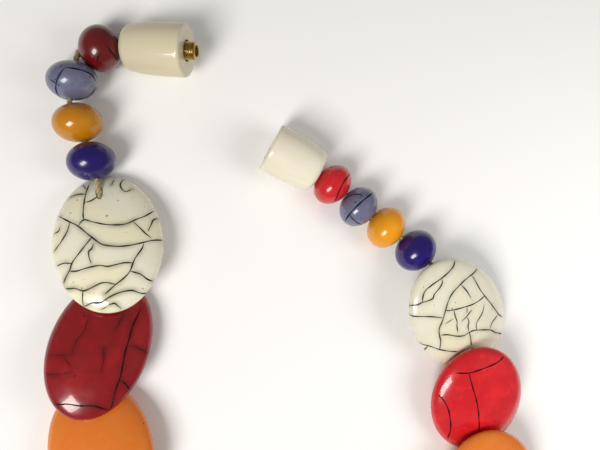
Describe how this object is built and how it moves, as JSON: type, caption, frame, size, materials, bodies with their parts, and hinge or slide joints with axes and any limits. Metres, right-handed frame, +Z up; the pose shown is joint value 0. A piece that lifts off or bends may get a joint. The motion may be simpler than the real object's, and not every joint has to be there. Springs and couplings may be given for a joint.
{
  "type": "beaded necklace",
  "caption": "Open necklace of flat oval crackle-resin discs with small oval beads at its ends and a two-part barrel screw clasp, unfastened, lying flat.",
  "frame": {"origin": "centre of the necklace's outline, on the surface it lies on", "axes": "+Z up from the surface; +Y from the hidden bottom of the loop towards the open clasp; +X to the right seen from above"},
  "size_m": [0.1444, 0.2242, 0.0182],
  "materials": {
    "resin_cream": "glossy, dark hairline crackle",
    "resin_red": "glossy, dark hairline crackle",
    "resin_orange": "glossy",
    "resin_purple": "glossy",
    "resin_lavender": "glossy, dark blue hairline crackle",
    "resin_ivory": "glossy",
    "brass": "machined screw thread",
    "thread": "stranded, khaki and gold"
  },
  "bodies": {
    "root": {"bead_1_red": "resin_red", "bead_2_lavender": "resin_lavender", "bead_3_orange": "resin_orange", "bead_4_purple": "resin_purple", "bead_5_purple": "resin_purple", "bead_6_orange": "resin_orange", "bead_7_lavender": "resin_lavender", "bead_8_red": "resin_red", "clasp_socket": "brass", "clasp_socket_half": "resin_ivory", "clasp_stud": "brass", "clasp_stud_half": "resin_ivory", "disc_10_purple": "resin_purple", "disc_11_orange": "resin_orange", "disc_12_red": "resin_red", "disc_13_cream": "resin_cream", "disc_1_cream": "resin_cream", "disc_2_red": "resin_red", "disc_3_orange": "resin_orange", "disc_4_purple": "resin_purple", "disc_5_lavender": "resin_lavender", "disc_6_cream": "resin_cream", "disc_7_red": "resin_red", "disc_8_cream": "resin_cream", "disc_9_lavender": "resin_lavender", "thread": "thread"}
  },
  "joints": []
}
